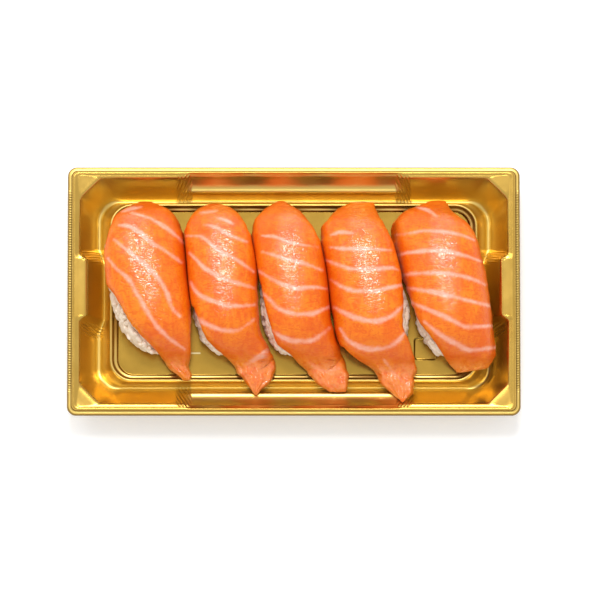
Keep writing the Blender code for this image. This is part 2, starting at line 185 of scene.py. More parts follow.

# Fixed colours of the film, the flesh and the floor. The film's colours here are painted: shade on the level
# floor, light on the walls, shade in the recess's outline and on the rim, and a highlight line; so are the
# flesh's shade on its steep sides and in its strokes' creases. The colours that a user would change are
# settings.
FILM_PAINTED_SHADE_ON_FLOOR = (0.46, 0.265, 0.04)
FILM_PAINTED_LIGHT_ON_WALL = (0.86, 0.66, 0.22)
FILM_PAINTED_SHADE_IN_RECESS = (0.16, 0.09, 0.015)
FILM_PAINTED_SHADE_AT_RIM = (0.24, 0.13, 0.022)
FILM_PAINTED_HIGHLIGHT = (0.95, 0.85, 0.55)
FLESH_PAINTED_SHADE = (0.77, 0.10, 0.002)
FLESH_PAINTED_SHADE_IN_CREASES = (0.78, 0.095, 0.002)
FLESH_IN_FOLDS = (0.92, 0.27, 0.055)
PALE_FLOOR, PALEST_FLOOR = (0.93, 0.93, 0.93), (0.95, 0.95, 0.95)
WHITE = (1.0, 1.0, 1.0, 1.0)


def rounded(radius):
    """A corner that is an arc: the leg of the 45 degree cut that the arc touches, and the arc's radius."""
    return radius * (2 - math.sqrt(2)), radius


def chamfered(leg, radius):
    """A corner cut at 45 degrees, with both ends of the cut rounded."""
    return leg, radius


def level(insets, heights, corner, end_slope=0.0):
    """One closed line of the tray's upper face, in millimetres, as a row of numbers.

    Its insets from the outline and its heights are given for four zones: the tab, the corner pocket's run
    along the short side, its run along the long side, and the ridge.
    """
    return np.array([*insets, *heights, *corner, end_slope])


def ring(short_inset, long_inset, height, radius):
    """A level at one height, with round corners and an inset from the short and from the long sides."""
    return level((short_inset, short_inset, long_inset, long_inset), (height,) * 4, rounded(radius))


LEVELS = [
    ring(0.0, 0.0, 13.4, TRAY_CORNER),
    ring(0.1, 0.1, 14.9, 3.8),
    ring(0.5, 0.5, 15.2, 3.5),
    ring(1.7, 1.7, 15.2, 2.5),
    ring(2.1, 2.1, 16.5, 2.3),
    level((3.1, 2.9, 2.7, 2.5), (17.0, 17.0, 17.0, 17.0), rounded(2.0)),
    level((5.0, 4.2, 3.5, 3.1), (16.8, 16.5, 16.5, 16.4), rounded(2.0)),
    level((8.0, 5.1, 4.6, 4.2), (16.7, 16.3, 16.3, 15.6), chamfered(8.4, 3.0)),
    level((8.8, 5.8, 5.4, 4.9), (15.6, 15.0, 15.0, 14.4), chamfered(8.2, 4.0), 0.3),
    level((10.2, 7.2, 7.1, 6.9), (12.2, 11.9, 12.0, 12.3), chamfered(7.6, 6.5), 1.0),
    level((11.6, 8.5, 8.7, 8.5), (9.0, 8.8, 9.2, 11.4), chamfered(6.9, 9.0), 1.9),
    level((13.0, 9.8, 10.4, 10.3), (5.7, 5.6, 6.3, 11.1), chamfered(6.2, 10.0), 2.8),
    level((14.4, 11.1, 12.0, 12.0), (2.9, 2.6, 3.8, 4.7), chamfered(5.5, 9.5), 3.6),
    level((15.1, 12.0, 12.6, 12.6), (1.6, 0.8, 3.2, 4.2), chamfered(5.2, 9.0), 4.0),
    level((15.8, 14.2, 13.7, 13.7), (2.2, 0.6, 3.2, 4.2), chamfered(5.0, 8.5), 3.6),
    ring(17.5, 14.6, 10.2, 9.6),
    ring(18.3, 15.4, 10.8, 9.0),
    ring(19.0, 16.0, 10.4, 8.4),
    ring(19.5, 16.5, 9.4, 8.0),
    ring(20.9, 17.7, 9.15, 6.9),
    ring(FLOOR_END, FLOOR_SIDE, FLOOR_HEIGHT / MM, 6.6),
]


class Nigiri:
    """One piece, in millimetres: its rice block's middle, half width and lean, the left and right edge of its
    slice as places (y, x) from head to tail, and the slice's lines of fat as places (x, y) in the plane that
    the photo's scale holds for.
    """

    def __init__(self, rice, half_width, lean, left, right, fat):
        self.rice_x, self.rice_y = (v * MM for v in rice)
        self.half_width = half_width * MM
        self.lean = lean
        self.left, self.right = np.array(left) * MM, np.array(right) * MM
        self.head, self.tail = self.left[0, 0], self.left[-1, 0]
        self.fat = [np.array(line) * MM for line in fat]

    def axis_x(self, y):
        """The block's middle line, which leans, at a place along it."""
        return self.rice_x + self.lean * (y - self.rice_y)


NIGIRI = [
    Nigiri(
        rice=(-62.0, 1.4), half_width=14.3, lean=-0.19,
        left=[(38.5, -64.4), (34.9, -71.1), (30.3, -75.3), (21.8, -77.9), (14.2, -79.4), (2.8, -78.7),
              (-3.6, -74.9), (-16.3, -67.4), (-24.7, -59.0), (-31.5, -52.3), (-37.6, -46.0)],
        right=[(38.5, -60.3), (34.5, -52.7), (28.2, -47.7), (21.8, -46.0), (4.9, -44.5), (-14.1, -42.9),
               (-24.7, -42.9), (-33.2, -43.5), (-37.6, -44.3)],
        fat=[[(-72.0, 33.0), (-68.2, 34.1), (-64.0, 34.9)],
             [(-67.8, 32.4), (-60.7, 30.3), (-54.8, 27.2), (-48.9, 22.6), (-45.6, 19.4)],
             [(-73.2, 27.2), (-69.9, 27.0), (-65.3, 24.9), (-60.0, 20.3), (-54.8, 17.3), (-46.8, 11.5)],
             [(-75.0, 21.2), (-71.8, 18.6), (-65.3, 13.4), (-60.0, 8.8), (-56.1, 4.4), (-52.7, -1.5),
              (-50.8, -7.0), (-47.7, -10.7)],
             [(-77.7, 13.4), (-73.7, 8.8), (-68.6, 4.4), (-65.9, -0.3), (-63.2, -4.9), (-58.6, -12.8),
              (-53.5, -18.7), (-45.6, -24.6)]],
    ),
    Nigiri(
        rice=(-29.7, 0.9), half_width=12.2, lean=-0.06,
        left=[(37.7, -34.7), (34.5, -40.6), (28.6, -44.3), (23.9, -45.6), (11.2, -44.7), (-3.6, -43.3),
              (-12.0, -40.6), (-20.5, -37.2), (-25.6, -32.2), (-30.6, -25.9), (-37.4, -21.3),
              (-43.8, -16.3)],
        right=[(37.7, -32.2), (35.4, -26.3), (29.4, -21.3), (19.3, -17.5), (0.7, -15.0), (-16.3, -14.2),
               (-24.7, -10.0), (-31.9, -7.5), (-38.7, -10.0), (-43.8, -14.6)],
        fat=[[(-39.3, 32.6), (-36.0, 32.8), (-32.2, 33.3)], [(-32.2, 30.3), (-28.8, 29.5), (-25.5, 27.8)],
             [(-37.6, 27.6), (-33.9, 26.8), (-29.7, 24.7), (-25.1, 22.4), (-19.6, 20.3)],
             [(-45.2, 22.8), (-39.3, 22.6), (-36.0, 20.5), (-31.8, 16.9), (-26.3, 14.0), (-21.3, 11.1),
              (-16.7, 7.7)],
             [(-43.7, 15.7), (-41.0, 13.2), (-37.2, 9.4), (-32.2, 6.5), (-26.7, 3.9), (-21.7, 2.5),
              (-16.3, 0.8)],
             [(-43.1, 3.1), (-40.6, -0.7), (-37.6, -2.8), (-32.2, -4.9), (-26.7, -6.5), (-21.7, -6.5),
              (-16.3, -6.1)],
             [(-42.7, -7.8), (-39.7, -12.2), (-35.1, -14.5), (-29.7, -16.6), (-24.6, -17.0),
              (-16.7, -12.4)],
             [(-20.0, -31.3), (-15.8, -28.7), (-10.8, -25.0)]],
    ),
    Nigiri(
        rice=(-1.2, 0.5), half_width=12.2, lean=-0.05,
        left=[(38.8, -6.6), (34.5, -12.5), (26.1, -17.5), (21.8, -17.5), (13.4, -15.8), (-3.6, -12.9),
              (-16.3, -9.8), (-23.5, -7.0), (-27.3, -1.6), (-32.8, 4.3), (-37.8, 8.9), (-42.5, 15.2)],
        right=[(38.8, -4.1), (34.5, 1.8), (26.1, 7.8), (17.6, 11.4), (4.9, 14.1), (-12.0, 15.4),
               (-24.7, 19.4), (-31.9, 22.7), (-37.4, 23.8), (-42.5, 23.1)],
        fat=[[(-13.3, 22.8), (-9.1, 22.6), (-5.4, 21.3), (-1.2, 19.9), (3.4, 19.0), (10.1, 18.0)],
             [(-13.3, 16.1), (-5.8, 14.0), (-0.3, 12.3), (5.1, 10.9), (11.8, 8.3)],
             [(-15.0, 8.1), (-10.8, 5.8), (-6.6, 3.5), (-1.2, 1.4), (2.2, 0.8), (7.6, 1.4), (14.3, 0.6)],
             [(-13.7, -0.7), (-10.0, -4.0), (-7.0, -7.0), (-4.1, -8.6), (1.8, -9.9), (7.2, -9.9),
              (11.8, -8.2), (14.7, -7.0)],
             [(-9.1, -17.0), (-4.9, -19.5), (0.9, -21.2), (6.4, -21.2), (11.4, -18.7), (14.7, -15.8)],
             [(7.6, -31.7), (13.5, -33.8), (18.5, -32.5)]],
    ),
    Nigiri(
        rice=(32.0, -1.0), half_width=13.6, lean=-0.17,
        left=[(38.4, 24.4), (34.9, 18.1), (30.3, 14.7), (25.2, 11.3), (19.3, 11.6), (4.9, 14.1),
              (-9.9, 16.2), (-21.3, 18.5), (-28.1, 24.4), (-33.8, 34.0), (-41.6, 39.5), (-47.2, 44.9)],
        right=[(38.4, 33.6), (32.4, 35.5), (23.9, 39.5), (9.1, 43.9), (-3.6, 45.8), (-15.4, 45.5),
               (-24.7, 49.1), (-34.5, 51.4), (-42.5, 50.4), (-47.2, 46.6)],
        fat=[[(15.6, 23.2), (20.0, 24.3), (24.6, 23.9)],
             [(15.4, 18.0), (21.9, 17.3), (29.8, 17.3), (41.0, 16.7)],
             [(13.1, 12.7), (19.4, 10.4), (25.9, 8.8), (32.3, 8.8), (40.3, 9.4), (43.7, 8.5)],
             [(15.4, 4.4), (20.0, 1.6), (26.5, -0.3), (32.3, -0.3), (39.1, 1.0), (44.9, 2.3)],
             [(16.8, -7.0), (21.3, -9.5), (26.5, -11.6), (33.6, -12.8), (39.1, -11.6), (43.7, -8.2),
              (45.8, -6.1)],
             [(19.4, -16.2), (23.1, -21.2), (28.6, -23.9), (33.6, -24.6), (39.1, -23.9), (43.7, -20.8),
              (46.2, -17.8)],
             [(37.8, -29.2), (42.8, -35.7), (46.8, -39.0)]],
    ),
    Nigiri(
        rice=(63.4, 0.0), half_width=12.8, lean=-0.08,
        left=[(39.0, 57.9), (33.7, 46.6), (26.5, 40.7), (17.6, 42.4), (0.7, 47.0), (-14.1, 52.0),
              (-22.6, 58.7), (-30.2, 64.4), (-34.2, 69.2)],
        right=[(39.0, 63.8), (33.7, 66.7), (26.1, 74.2), (15.5, 78.4), (-1.4, 82.0), (-18.4, 83.9),
               (-26.8, 84.7), (-32.1, 81.4), (-34.2, 70.9)],
        fat=[[(51.2, 34.9), (55.8, 33.7), (59.6, 31.2)],
             [(42.8, 23.2), (48.7, 23.9), (54.6, 24.9), (63.8, 24.3), (69.6, 23.2), (75.5, 21.1)],
             [(43.2, 14.8), (50.8, 16.1), (58.7, 16.7), (66.5, 15.7), (71.7, 14.4), (78.3, 12.1)],
             [(44.9, 6.2), (52.0, 7.1), (60.0, 7.3), (67.8, 6.5), (74.2, 4.8), (80.1, 2.3)],
             [(47.4, 1.0), (54.6, -0.1), (63.8, -1.9), (71.7, -4.0), (81.8, -6.5)],
             [(48.7, -4.9), (54.6, -7.5), (61.3, -10.2), (67.8, -13.4), (73.0, -15.3), (83.0, -14.9)],
             [(54.6, -13.2), (61.3, -18.7), (67.8, -22.5), (74.2, -25.0), (84.3, -23.9)]],
    ),
]


# Mesh helpers


def only(obj):
    """Selects one object alone and makes it the active one."""
    bpy.ops.object.select_all(action="DESELECT")
    obj.select_set(True)
    bpy.context.view_layer.objects.active = obj


def edit_all(obj, operator, **values):
    """Runs an edit mode operator over an object's whole mesh."""
    only(obj)
    bpy.ops.object.mode_set(mode="EDIT")
    bpy.ops.mesh.select_all(action="SELECT")
    operator(**values)
    bpy.ops.object.mode_set(mode="OBJECT")


def lattice(name, rows):
    """A closed surface through rows of points: a grid whose vertices are moved to them and merged."""
    points = np.asarray(rows, dtype=np.float64)
    points = np.concatenate([points, points[:, :1]], axis=1)
    height, width = points.shape[:2]
    bpy.ops.object.select_all(action="DESELECT")
    bpy.ops.mesh.primitive_grid_add(x_subdivisions=width - 1, y_subdivisions=height - 1, size=1)
    obj = bpy.context.object
    obj.name = obj.data.name = name
    obj.data.vertices.foreach_set("co", points.reshape(-1))
    obj.data.update()
    edit_all(obj, bpy.ops.mesh.remove_doubles, threshold=0.004 * MM)
    return obj


def face_outward(obj):
    """Turns the faces of a closed piece outwards."""
    edit_all(obj, bpy.ops.mesh.normals_make_consistent, inside=False)


def apply_modifiers(obj):
    """Applies an object's modifiers in their order."""
    only(obj)
    for modifier in list(obj.modifiers):
        bpy.ops.object.modifier_apply(modifier=modifier.name)


def hand_over(obj, nodes, name, maker, settings):
    """Gives a finished piece its material and its place in the frame."""
    bpy.ops.object.shade_smooth()
    obj.data.materials.clear()
    obj.data.materials.append(bpy.data.materials.get(name) or maker(settings))
    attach(obj, "root")
    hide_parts(*nodes)


# Material helpers


def new_material(name):
    """A material with only a Principled shader, its tree and that shader."""
    made = bpy.data.materials.new(name)
    made.use_nodes = True
    return made, made.node_tree, made.node_tree.nodes["Principled BSDF"]


def add(tree, kind, values=None, **settings):
    """Adds a node with its settings, and the values of its sockets by their names or numbers."""
    node = tree.nodes.new(kind)
    for key, value in settings.items():
        setattr(node, key, value)
    for key, value in (values or {}).items():
        node.inputs[key].default_value = value
    return node


def link(tree, source, target):
    tree.links.new(source, target)


def maths(tree, operation, a, b=0.0):
    """A maths node. Both sides may be values or sockets."""
    node = add(tree, "ShaderNodeMath", operation=operation)
    for socket, value in zip(node.inputs, (a, b)):
        if isinstance(value, (int, float)):
            socket.default_value = value
        else:
            link(tree, value, socket)
    return node.outputs[0]


def added(tree, a, b):
    return maths(tree, "ADD", a, b)


def taken(tree, a, b):
    return maths(tree, "SUBTRACT", a, b)


def times(tree, a, b):
    return maths(tree, "MULTIPLY", a, b)


def size_of(tree, a):
    return maths(tree, "ABSOLUTE", a)


def larger(tree, a, b=0.0):
    return maths(tree, "MAXIMUM", a, b)


def mixed(tree, factor, a, b):
    """A colour mix. The factor and the colours may be values or sockets."""
    node = add(tree, "ShaderNodeMix", data_type="RGBA")
    for socket, value in ((node.inputs[0], factor), (node.inputs[6], a), (node.inputs[7], b)):
        if isinstance(value, bpy.types.NodeSocket):
            link(tree, value, socket)
        elif isinstance(value, (int, float)):
            socket.default_value = value
        else:
            socket.default_value = (*value, 1.0)
    return node.outputs[2]


def ramp(tree, source, low, high, out_low=0.0, out_high=1.0):
    """Turns a value from low to high into one from out_low to out_high, with soft ends."""
    values = {1: low, 2: high, 3: out_low, 4: out_high}
    node = add(tree, "ShaderNodeMapRange", values, interpolation_type="SMOOTHSTEP")
    link(tree, source, node.inputs[0])
    return node.outputs[0]


def between(tree, source, ends):
    """A mask that goes softly from 0 to 1 between two lengths in millimetres."""
    return ramp(tree, source, ends[0] * MM, ends[1] * MM)


def bumped(tree, height, strength, distance, normal=None):
    """A normal that follows a height, on top of another normal where one is given."""
    node = add(tree, "ShaderNodeBump", {"Strength": strength, "Distance": distance})
    link(tree, height, node.inputs["Height"])
    if normal is not None:
        link(tree, normal, node.inputs["Normal"])
    return node.outputs[0]


def object_place(tree):
    """The place on the piece itself, as a socket."""
    return add(tree, "ShaderNodeTexCoord").outputs["Object"]


def grain_of(tree, scale, detail=2.0, stretch=(1, 1, 1), turn=0.0, roughness=0.5, distortion=0.0):
    """Noise over object coordinates, with its own stretch and turn."""
    mapping = add(tree, "ShaderNodeMapping", {"Scale": stretch, "Rotation": (0, 0, turn)})
    link(tree, object_place(tree), mapping.inputs[0])
    values = {"Scale": scale, "Detail": detail, "Roughness": roughness, "Distortion": distortion}
    node = add(tree, "ShaderNodeTexNoise", values)
    link(tree, mapping.outputs[0], node.inputs[0])
    return node.outputs[0]


def mottle_group():
    """A shared node group: two sizes of noise that add up to a soft mottle around 0.5."""
    name = "Soft mottle"
    if name in bpy.data.node_groups:
        return bpy.data.node_groups[name]
    group = bpy.data.node_groups.new(name, "ShaderNodeTree")
    scale = group.interface.new_socket("Scale", in_out="INPUT", socket_type="NodeSocketFloat")
    scale.default_value = 100.0
    group.interface.new_socket("Value", in_out="OUTPUT", socket_type="NodeSocketFloat")
    entry, leave = group.nodes.new("NodeGroupInput"), group.nodes.new("NodeGroupOutput")
    place = object_place(group)
    coarse = add(group, "ShaderNodeTexNoise", {"Detail": 2.0})
    fine = add(group, "ShaderNodeTexNoise", {"Detail": 3.0})
    link(group, place, coarse.inputs[0])
    link(group, place, fine.inputs[0])
    link(group, entry.outputs[0], coarse.inputs["Scale"])
    link(group, times(group, entry.outputs[0], 4.3), fine.inputs["Scale"])
    both = added(group, times(group, fine.outputs[0], 0.35), times(group, coarse.outputs[0], 0.65))
    link(group, both, leave.inputs[0])
    return group


def mottle(tree, scale):
    """The soft mottle as a value, at its own scale."""
    node = add(tree, "ShaderNodeGroup", node_tree=mottle_group())
    node.inputs[0].default_value = scale
    return node.outputs[0]


def mottled(tree, scale, low, high, one, other):
    """Two colours that change into each other with the mottle between two of its values."""
    return mixed(tree, ramp(tree, mottle(tree, scale), low, high), one, other)


def box_distance(tree, across, along, centre, half, radius):
    """How far a place lies outside a rectangle with rounded corners, given in millimetres.

    Inside the rectangle it is below zero, down to minus the corners' radius.
    """
    squares = []
    for socket, middle, reach in zip((across, along), centre, half):
        off = size_of(tree, taken(tree, socket, middle * MM))
        squares.append(maths(tree, "POWER", larger(tree, taken(tree, off, (reach - radius) * MM)), 2.0))
    return taken(tree, maths(tree, "SQRT", added(tree, *squares)), radius * MM)


# Materials


def ribs(tree, along, across, slant, pitch, place, half):
    """Slanting ribs in one spot of each quarter of the tray, as a height from -1 to 1."""
    way = added(tree, along, times(tree, across, slant))
    wave = maths(tree, "SINE", times(tree, way, 2 * math.pi / (pitch * MM)))
    spot = box_distance(tree, along, across, place, half, RIBS_CORNER)
    return times(tree, wave, ramp(tree, spot, 0.0, 1 * MM, 1, 0))


def film_colour(tree, settings, masks):
    """The film's colour: mottled, with painted shade on the level floor, painted light on the walls, painted
    shade in the recess's outline and on the rim, and a painted highlight line on the floor.
    """
    film = mottled(tree, 45.0, 0.35, 0.65, settings.film, settings.film_light)
    # Painted shade: the film on the level floor is painted darker.
    film = mixed(tree, times(tree, masks["on_floor"], 0.8), film, FILM_PAINTED_SHADE_ON_FLOOR)
    # Painted light: the film on the walls is painted paler.
    film = mixed(tree, times(tree, masks["on_wall"], 0.45), film, FILM_PAINTED_LIGHT_ON_WALL)
    # Painted shade along the recess's outline.
    film = mixed(tree, times(tree, masks["painted_recess_shade"], 0.8), film, FILM_PAINTED_SHADE_IN_RECESS)
    # Painted shade on the rim: in the teeth's gaps, on the skirt and step, and at the lip.
    film = mixed(tree, masks["painted_rim_shade"], film, FILM_PAINTED_SHADE_AT_RIM)
    # A painted highlight: a short pale line on the floor.
    return mixed(tree, times(tree, masks["painted_highlight_line"], 0.7), film, FILM_PAINTED_HIGHLIGHT)


def rim_painted_shade(tree, off_x, off_y, z, teeth, at_edge):
    """Where shade is painted on the rim's film: in the teeth's gaps, on the skirt and step below it, and at
    its lip, where it also stands for the sheet's cut edge.
    """
    half = (TRAY_LENGTH / 2 / MM, TRAY_WIDTH / 2 / MM)
    from_outline = box_distance(tree, off_x, off_y, (0.0, 0.0), half, TRAY_CORNER)
    rim = between(tree, from_outline, RIM_INSIDE)
    skirt = between(tree, z, SKIRT_TOP)
    step = between(tree, size_of(tree, taken(tree, z, STEP_HEIGHT * MM)), STEP_HALF)
    gaps = times(tree, at_edge, ramp(tree, teeth, -0.3, 0.5, 0.75, 0.0))
    lip = times(tree, between(tree, from_outline, LIP_INSIDE), 0.75)
    return larger(tree, larger(tree, gaps, times(tree, rim, larger(tree, skirt, step))), lip)


def gold_material(settings):
    """Metallised film, with ribs beside the raised parts, teeth on the short sides and a floor recess, and
    with shade, light and a highlight painted into its colour.
    """
    made, tree, shader = new_material("gold_film")
    place = add(tree, "ShaderNodeSeparateXYZ")
    link(tree, object_place(tree), place.inputs[0])
    x, y, z = place.outputs
    off_x, off_y = size_of(tree, x), size_of(tree, y)

    floor_half = (TRAY_LENGTH / 2 / MM - FLOOR_END, TRAY_WIDTH / 2 / MM - FLOOR_SIDE)
    level_part = box_distance(tree, x, y, (0.0, 0.0), floor_half, FLOOR_CORNER)
    # The level floor, whose film gets painted shade, and the walls, whose film gets painted light.
    on_floor = ramp(tree, level_part, 0.3 * MM, 0.0)
    on_wall = times(tree, taken(tree, 1.0, on_floor), between(tree, z, WALL_TOP))
    recess = box_distance(tree, x, y, RECESS_PLACE, RECESS_HALF, RECESS_CORNER)
    # Painted shade along the recess's outline, on the floor only.
    painted_recess_shade = times(tree, ramp(tree, size_of(tree, recess), 0.1 * MM, 0.55 * MM, 1, 0), on_floor)
    # A short line on the floor that gets a painted highlight.
    short_line = box_distance(tree, x, y, LINE_PLACE, LINE_HALF, LINE_CORNER)
    painted_highlight_line = times(tree, ramp(tree, short_line, 0.0, 0.3 * MM, 1, 0), on_floor)

    teeth = maths(tree, "SINE", times(tree, y, 2 * math.pi / (TOOTH_PITCH * MM)))
    off_corners = taken(tree, 1.0, between(tree, off_y, TEETH_END))
    at_edge = times(tree, between(tree, off_x, TEETH_FROM), off_corners)
    by_ridge = ribs(tree, off_x, off_y, RIDGE_RIB_SLANT, RIDGE_RIB_PITCH,
                    RIDGE_RIBS_PLACE, RIDGE_RIBS_HALF)
    by_tab = ribs(tree, off_y, off_x, TAB_RIB_SLANT, TAB_RIB_PITCH, TAB_RIBS_PLACE, TAB_RIBS_HALF)
    height = added(tree, added(tree, by_ridge, by_tab), times(tree, times(tree, teeth, at_edge), 0.7))
    height = added(tree, height, times(tree, ramp(tree, recess, -0.5 * MM, 0.3 * MM), 1.6))

    masks = {
        "on_floor": on_floor, "on_wall": on_wall, "painted_recess_shade": painted_recess_shade,
        "painted_highlight_line": painted_highlight_line, "painted_rim_shade": rim_painted_shade(tree, off_x, off_y, z, teeth, at_edge),
    }
    link(tree, film_colour(tree, settings, masks), shader.inputs["Base Color"])
    shader.inputs["Metallic"].default_value = 1.0
    haze = added(tree, ramp(tree, mottle(tree, 160.0), 0.3, 0.7, 0.20, 0.25), times(tree, on_wall, 0.09))
    link(tree, haze, shader.inputs["Roughness"])
    ripple = bumped(tree, grain_of(tree, 45.0, detail=1.0), strength=0.08, distance=0.0005)
    relief = bumped(tree, height, strength=0.8, distance=0.00018, normal=ripple)
    link(tree, relief, shader.inputs["Normal"])
    return made


def rice_material(settings):
    """Moist rice, finely mottled."""
    made, tree, shader = new_material("moist_rice")
    colour = mottled(tree, 260.0, 0.35, 0.65, settings.rice, settings.rice_light)
    link(tree, colour, shader.inputs["Base Color"])
    shader.inputs["Specular IOR Level"].default_value = 0.35
    link(tree, ramp(tree, mottle(tree, 500.0), 0.3, 0.7, 0.42, 0.55), shader.inputs["Roughness"])
    relief = bumped(tree, mottle(tree, 900.0), strength=0.2, distance=0.0002)
    link(tree, relief, shader.inputs["Normal"])
    return made


def flesh_colour(tree, settings, masks, strokes):
    """The flesh: streaked, painted deeper as shade on its steep sides and in its strokes' creases, pale in
    the tail's folds and in the fat.
    """
    streaks = grain_of(tree, 330.0, detail=3.0, stretch=(1.5, 0.5, 0.6), turn=0.25, roughness=0.6,
                       distortion=0.8)
    blotch = added(tree, times(tree, mottle(tree, 110.0), 0.6), times(tree, streaks, 0.4))
    flesh = mixed(tree, ramp(tree, blotch, 0.38, 0.62), settings.flesh, settings.flesh_light)
    # Painted shade: the flesh is painted deeper and redder where its face is steep.
    flesh = mixed(tree, times(tree, masks["deep"], 0.6), flesh, FLESH_PAINTED_SHADE)
    # Painted shade in the creases of the strokes, where their bumps dip.
    flesh = mixed(tree, ramp(tree, strokes, 0.36, 0.50, 0.5, 0.0), flesh, FLESH_PAINTED_SHADE_IN_CREASES)
    folds = times(tree, masks["thin"], ramp(tree, mottle(tree, 330.0), 0.4, 0.6, 0.0, 0.8))
    flesh = mixed(tree, folds, flesh, FLESH_IN_FOLDS)
    pale = mottled(tree, 420.0, 0.3, 0.7, settings.fat, settings.fat_light)
    frayed = added(tree, masks["fat"], times(tree, taken(tree, mottle(tree, 700.0), 0.5), 0.7))
    return mixed(tree, ramp(tree, frayed, 0.05, 0.9), flesh, pale)


def creased(tree):
    """Fine creases: the edges of small cells whose places are bent by noise."""
    swirl = add(tree, "ShaderNodeTexNoise", {"Scale": 500.0, "Detail": 1.0})
    link(tree, object_place(tree), swirl.inputs[0])
    push = add(tree, "ShaderNodeVectorMath", {"Scale": 0.003}, operation="SCALE")
    link(tree, swirl.outputs[1], push.inputs[0])
    bent = add(tree, "ShaderNodeVectorMath", operation="ADD")
    link(tree, object_place(tree), bent.inputs[0])
    link(tree, push.outputs[0], bent.inputs[1])
    cells = add(tree, "ShaderNodeTexVoronoi", {"Scale": 430.0}, feature="DISTANCE_TO_EDGE")
    link(tree, bent.outputs[0], cells.inputs["Vector"])
    return ramp(tree, cells.outputs[0], 0.0, 0.22)


def salmon_material(settings):
    """Orange flesh, pale fat where the mesh's own mask says so, and a wet skin that is finely wrinkled."""
    made, tree, shader = new_material("salmon_flesh")
    names = ("fat", "deep", "thin", "crest")
    masks = {name: add(tree, "ShaderNodeAttribute", attribute_name=name).outputs["Fac"] for name in names}
    crest = masks["crest"]
    strokes = grain_of(tree, 480.0, detail=1.0, stretch=(0.65, 1.5, 1.0), turn=0.2, distortion=1.6)
    link(tree, flesh_colour(tree, settings, masks, strokes), shader.inputs["Base Color"])
    shader.inputs["Subsurface Weight"].default_value = 0.12
    shader.inputs["Subsurface Radius"].default_value = (1.0, 0.35, 0.15)
    shader.inputs["Subsurface Scale"].default_value = 0.002
    shader.inputs["Specular IOR Level"].default_value = 0.3
    link(tree, ramp(tree, mottle(tree, 300.0), 0.3, 0.7, 0.34, 0.48), shader.inputs["Roughness"])

    fibres = times(tree, strokes, added(tree, times(tree, crest, 0.5), 0.5))
    height = added(tree, fibres, times(tree, times(tree, creased(tree), crest), 0.12))
    waves = grain_of(tree, 170.0, stretch=(0.8, 1.2, 1.0), turn=0.2)
    soft = bumped(tree, waves, strength=0.4, distance=0.0004)
    wrinkled = bumped(tree, height, strength=1.0, distance=0.00036, normal=soft)
    link(tree, wrinkled, shader.inputs["Normal"])
    link(tree, ramp(tree, crest, 0.15, 0.85, 0.1, 0.9), shader.inputs["Coat Weight"])
    shader.inputs["Coat Roughness"].default_value = 0.035
    shader.inputs["Coat IOR"].default_value = 1.8
    link(tree, wrinkled, shader.inputs["Coat Normal"])
    return made


def floor_material():
    """A pale floor that gives off a little light, so that the shadow on it stays light."""
    made, tree, shader = new_material("pale_floor")
    link(tree, mottled(tree, 6.0, 0.3, 0.7, PALE_FLOOR, PALEST_FLOOR), shader.inputs["Base Color"])
    shader.inputs["Roughness"].default_value = 0.8
    shader.inputs["Emission Color"].default_value = WHITE
    shader.inputs["Emission Strength"].default_value = 0.2
    return made


# Tray


def arc(before, corner, after, radius, steps):
    """Points that round a corner by a curve between its two legs."""
    to_before, to_after = before - corner, after - corner
    turn = math.pi - to_before.angle(to_after)
    reach = min(radius * math.tan(turn / 2), 0.499 * to_before.length, 0.499 * to_after.length)
    start = corner + to_before.normalized() * max(reach, 1e-6)
    end = corner + to_after.normalized() * max(reach, 1e-6)
    points = []
    for step in range(steps + 1):
        t = step / steps
        first, second = start.lerp(corner, t), corner.lerp(end, t)
        points.append(first.lerp(second, t))
    return points


def quarter(row, sign_x, sign_y):
    """A level's line in one quarter, from the middle of the short side to the middle of the long side."""
    tab, end, side, ridge, z_tab, z_end, z_side, z_ridge, leg, radius, slope = (float(v) * MM for v in row)
    x_edge, y_edge = TRAY_LENGTH / 2, TRAY_WIDTH / 2
    tab_end = TAB_HALF + sign_y * TAB_SHIFT
    first, last = Vector((x_edge - tab, 0, z_tab)), Vector((0, y_edge - ridge, z_ridge))
    ridge_end = RIDGE_HALF + RIDGE_END_SLOPE + slope
    corners = [
        (first, 0, 0),
        (Vector((x_edge - tab, tab_end, z_tab)), END_BEND, END_BEND_STEPS),
        (Vector((x_edge - end, tab_end + TAB_END_SLOPE + slope, z_end)), END_BEND, END_BEND_STEPS),
        (Vector((x_edge - end, y_edge - side - leg, z_end)), radius, CORNER_STEPS),
        (Vector((x_edge - end - leg, y_edge - side, z_side)), radius, CORNER_STEPS),
        (Vector((ridge_end, y_edge - side, z_side)), END_BEND, END_BEND_STEPS),
        (Vector((RIDGE_HALF, y_edge - ridge, z_ridge)), END_BEND, END_BEND_STEPS),
        (last, 0, 0),
    ]
    bends = [[first]]
    for (before, _, _), (corner, bend, steps), (after, _, _) in zip(corners, corners[1:], corners[2:]):
        bends.append(arc(before, corner, after, bend, steps))
    bends.append([last])
    points = []
    for bend, following, count in zip(bends, bends[1:], RUN_PIECES):
        points += bend
        points += [bend[-1].lerp(following[0], i / count) for i in range(1, count)]
    points += bends[-1]
    return [Vector((sign_x * p.x, sign_y * p.y, p.z)) for p in points]


def level_line(row):
    """A level's whole line, with the middles of the sides, where two quarters meet, taken once."""
    right_back = quarter(row, 1, 1)
    left_back = quarter(row, -1, 1)[::-1]
    left_front = quarter(row, -1, -1)
    right_front = quarter(row, 1, -1)[::-1]
    return right_back[:-1] + left_back[:-1] + left_front[:-1] + right_front[:-1]


def softened(levels, shares):
    """The tray's profile with its bends rounded: its corners are cut off, once for each of the shares."""
    for share in shares:
        cut = [levels[0]]
        for a, b in zip(levels, levels[1:]):
            cut += [a + share * (b - a), a + (1 - share) * (b - a)]
        levels = cut + [levels[-1]]
    return levels


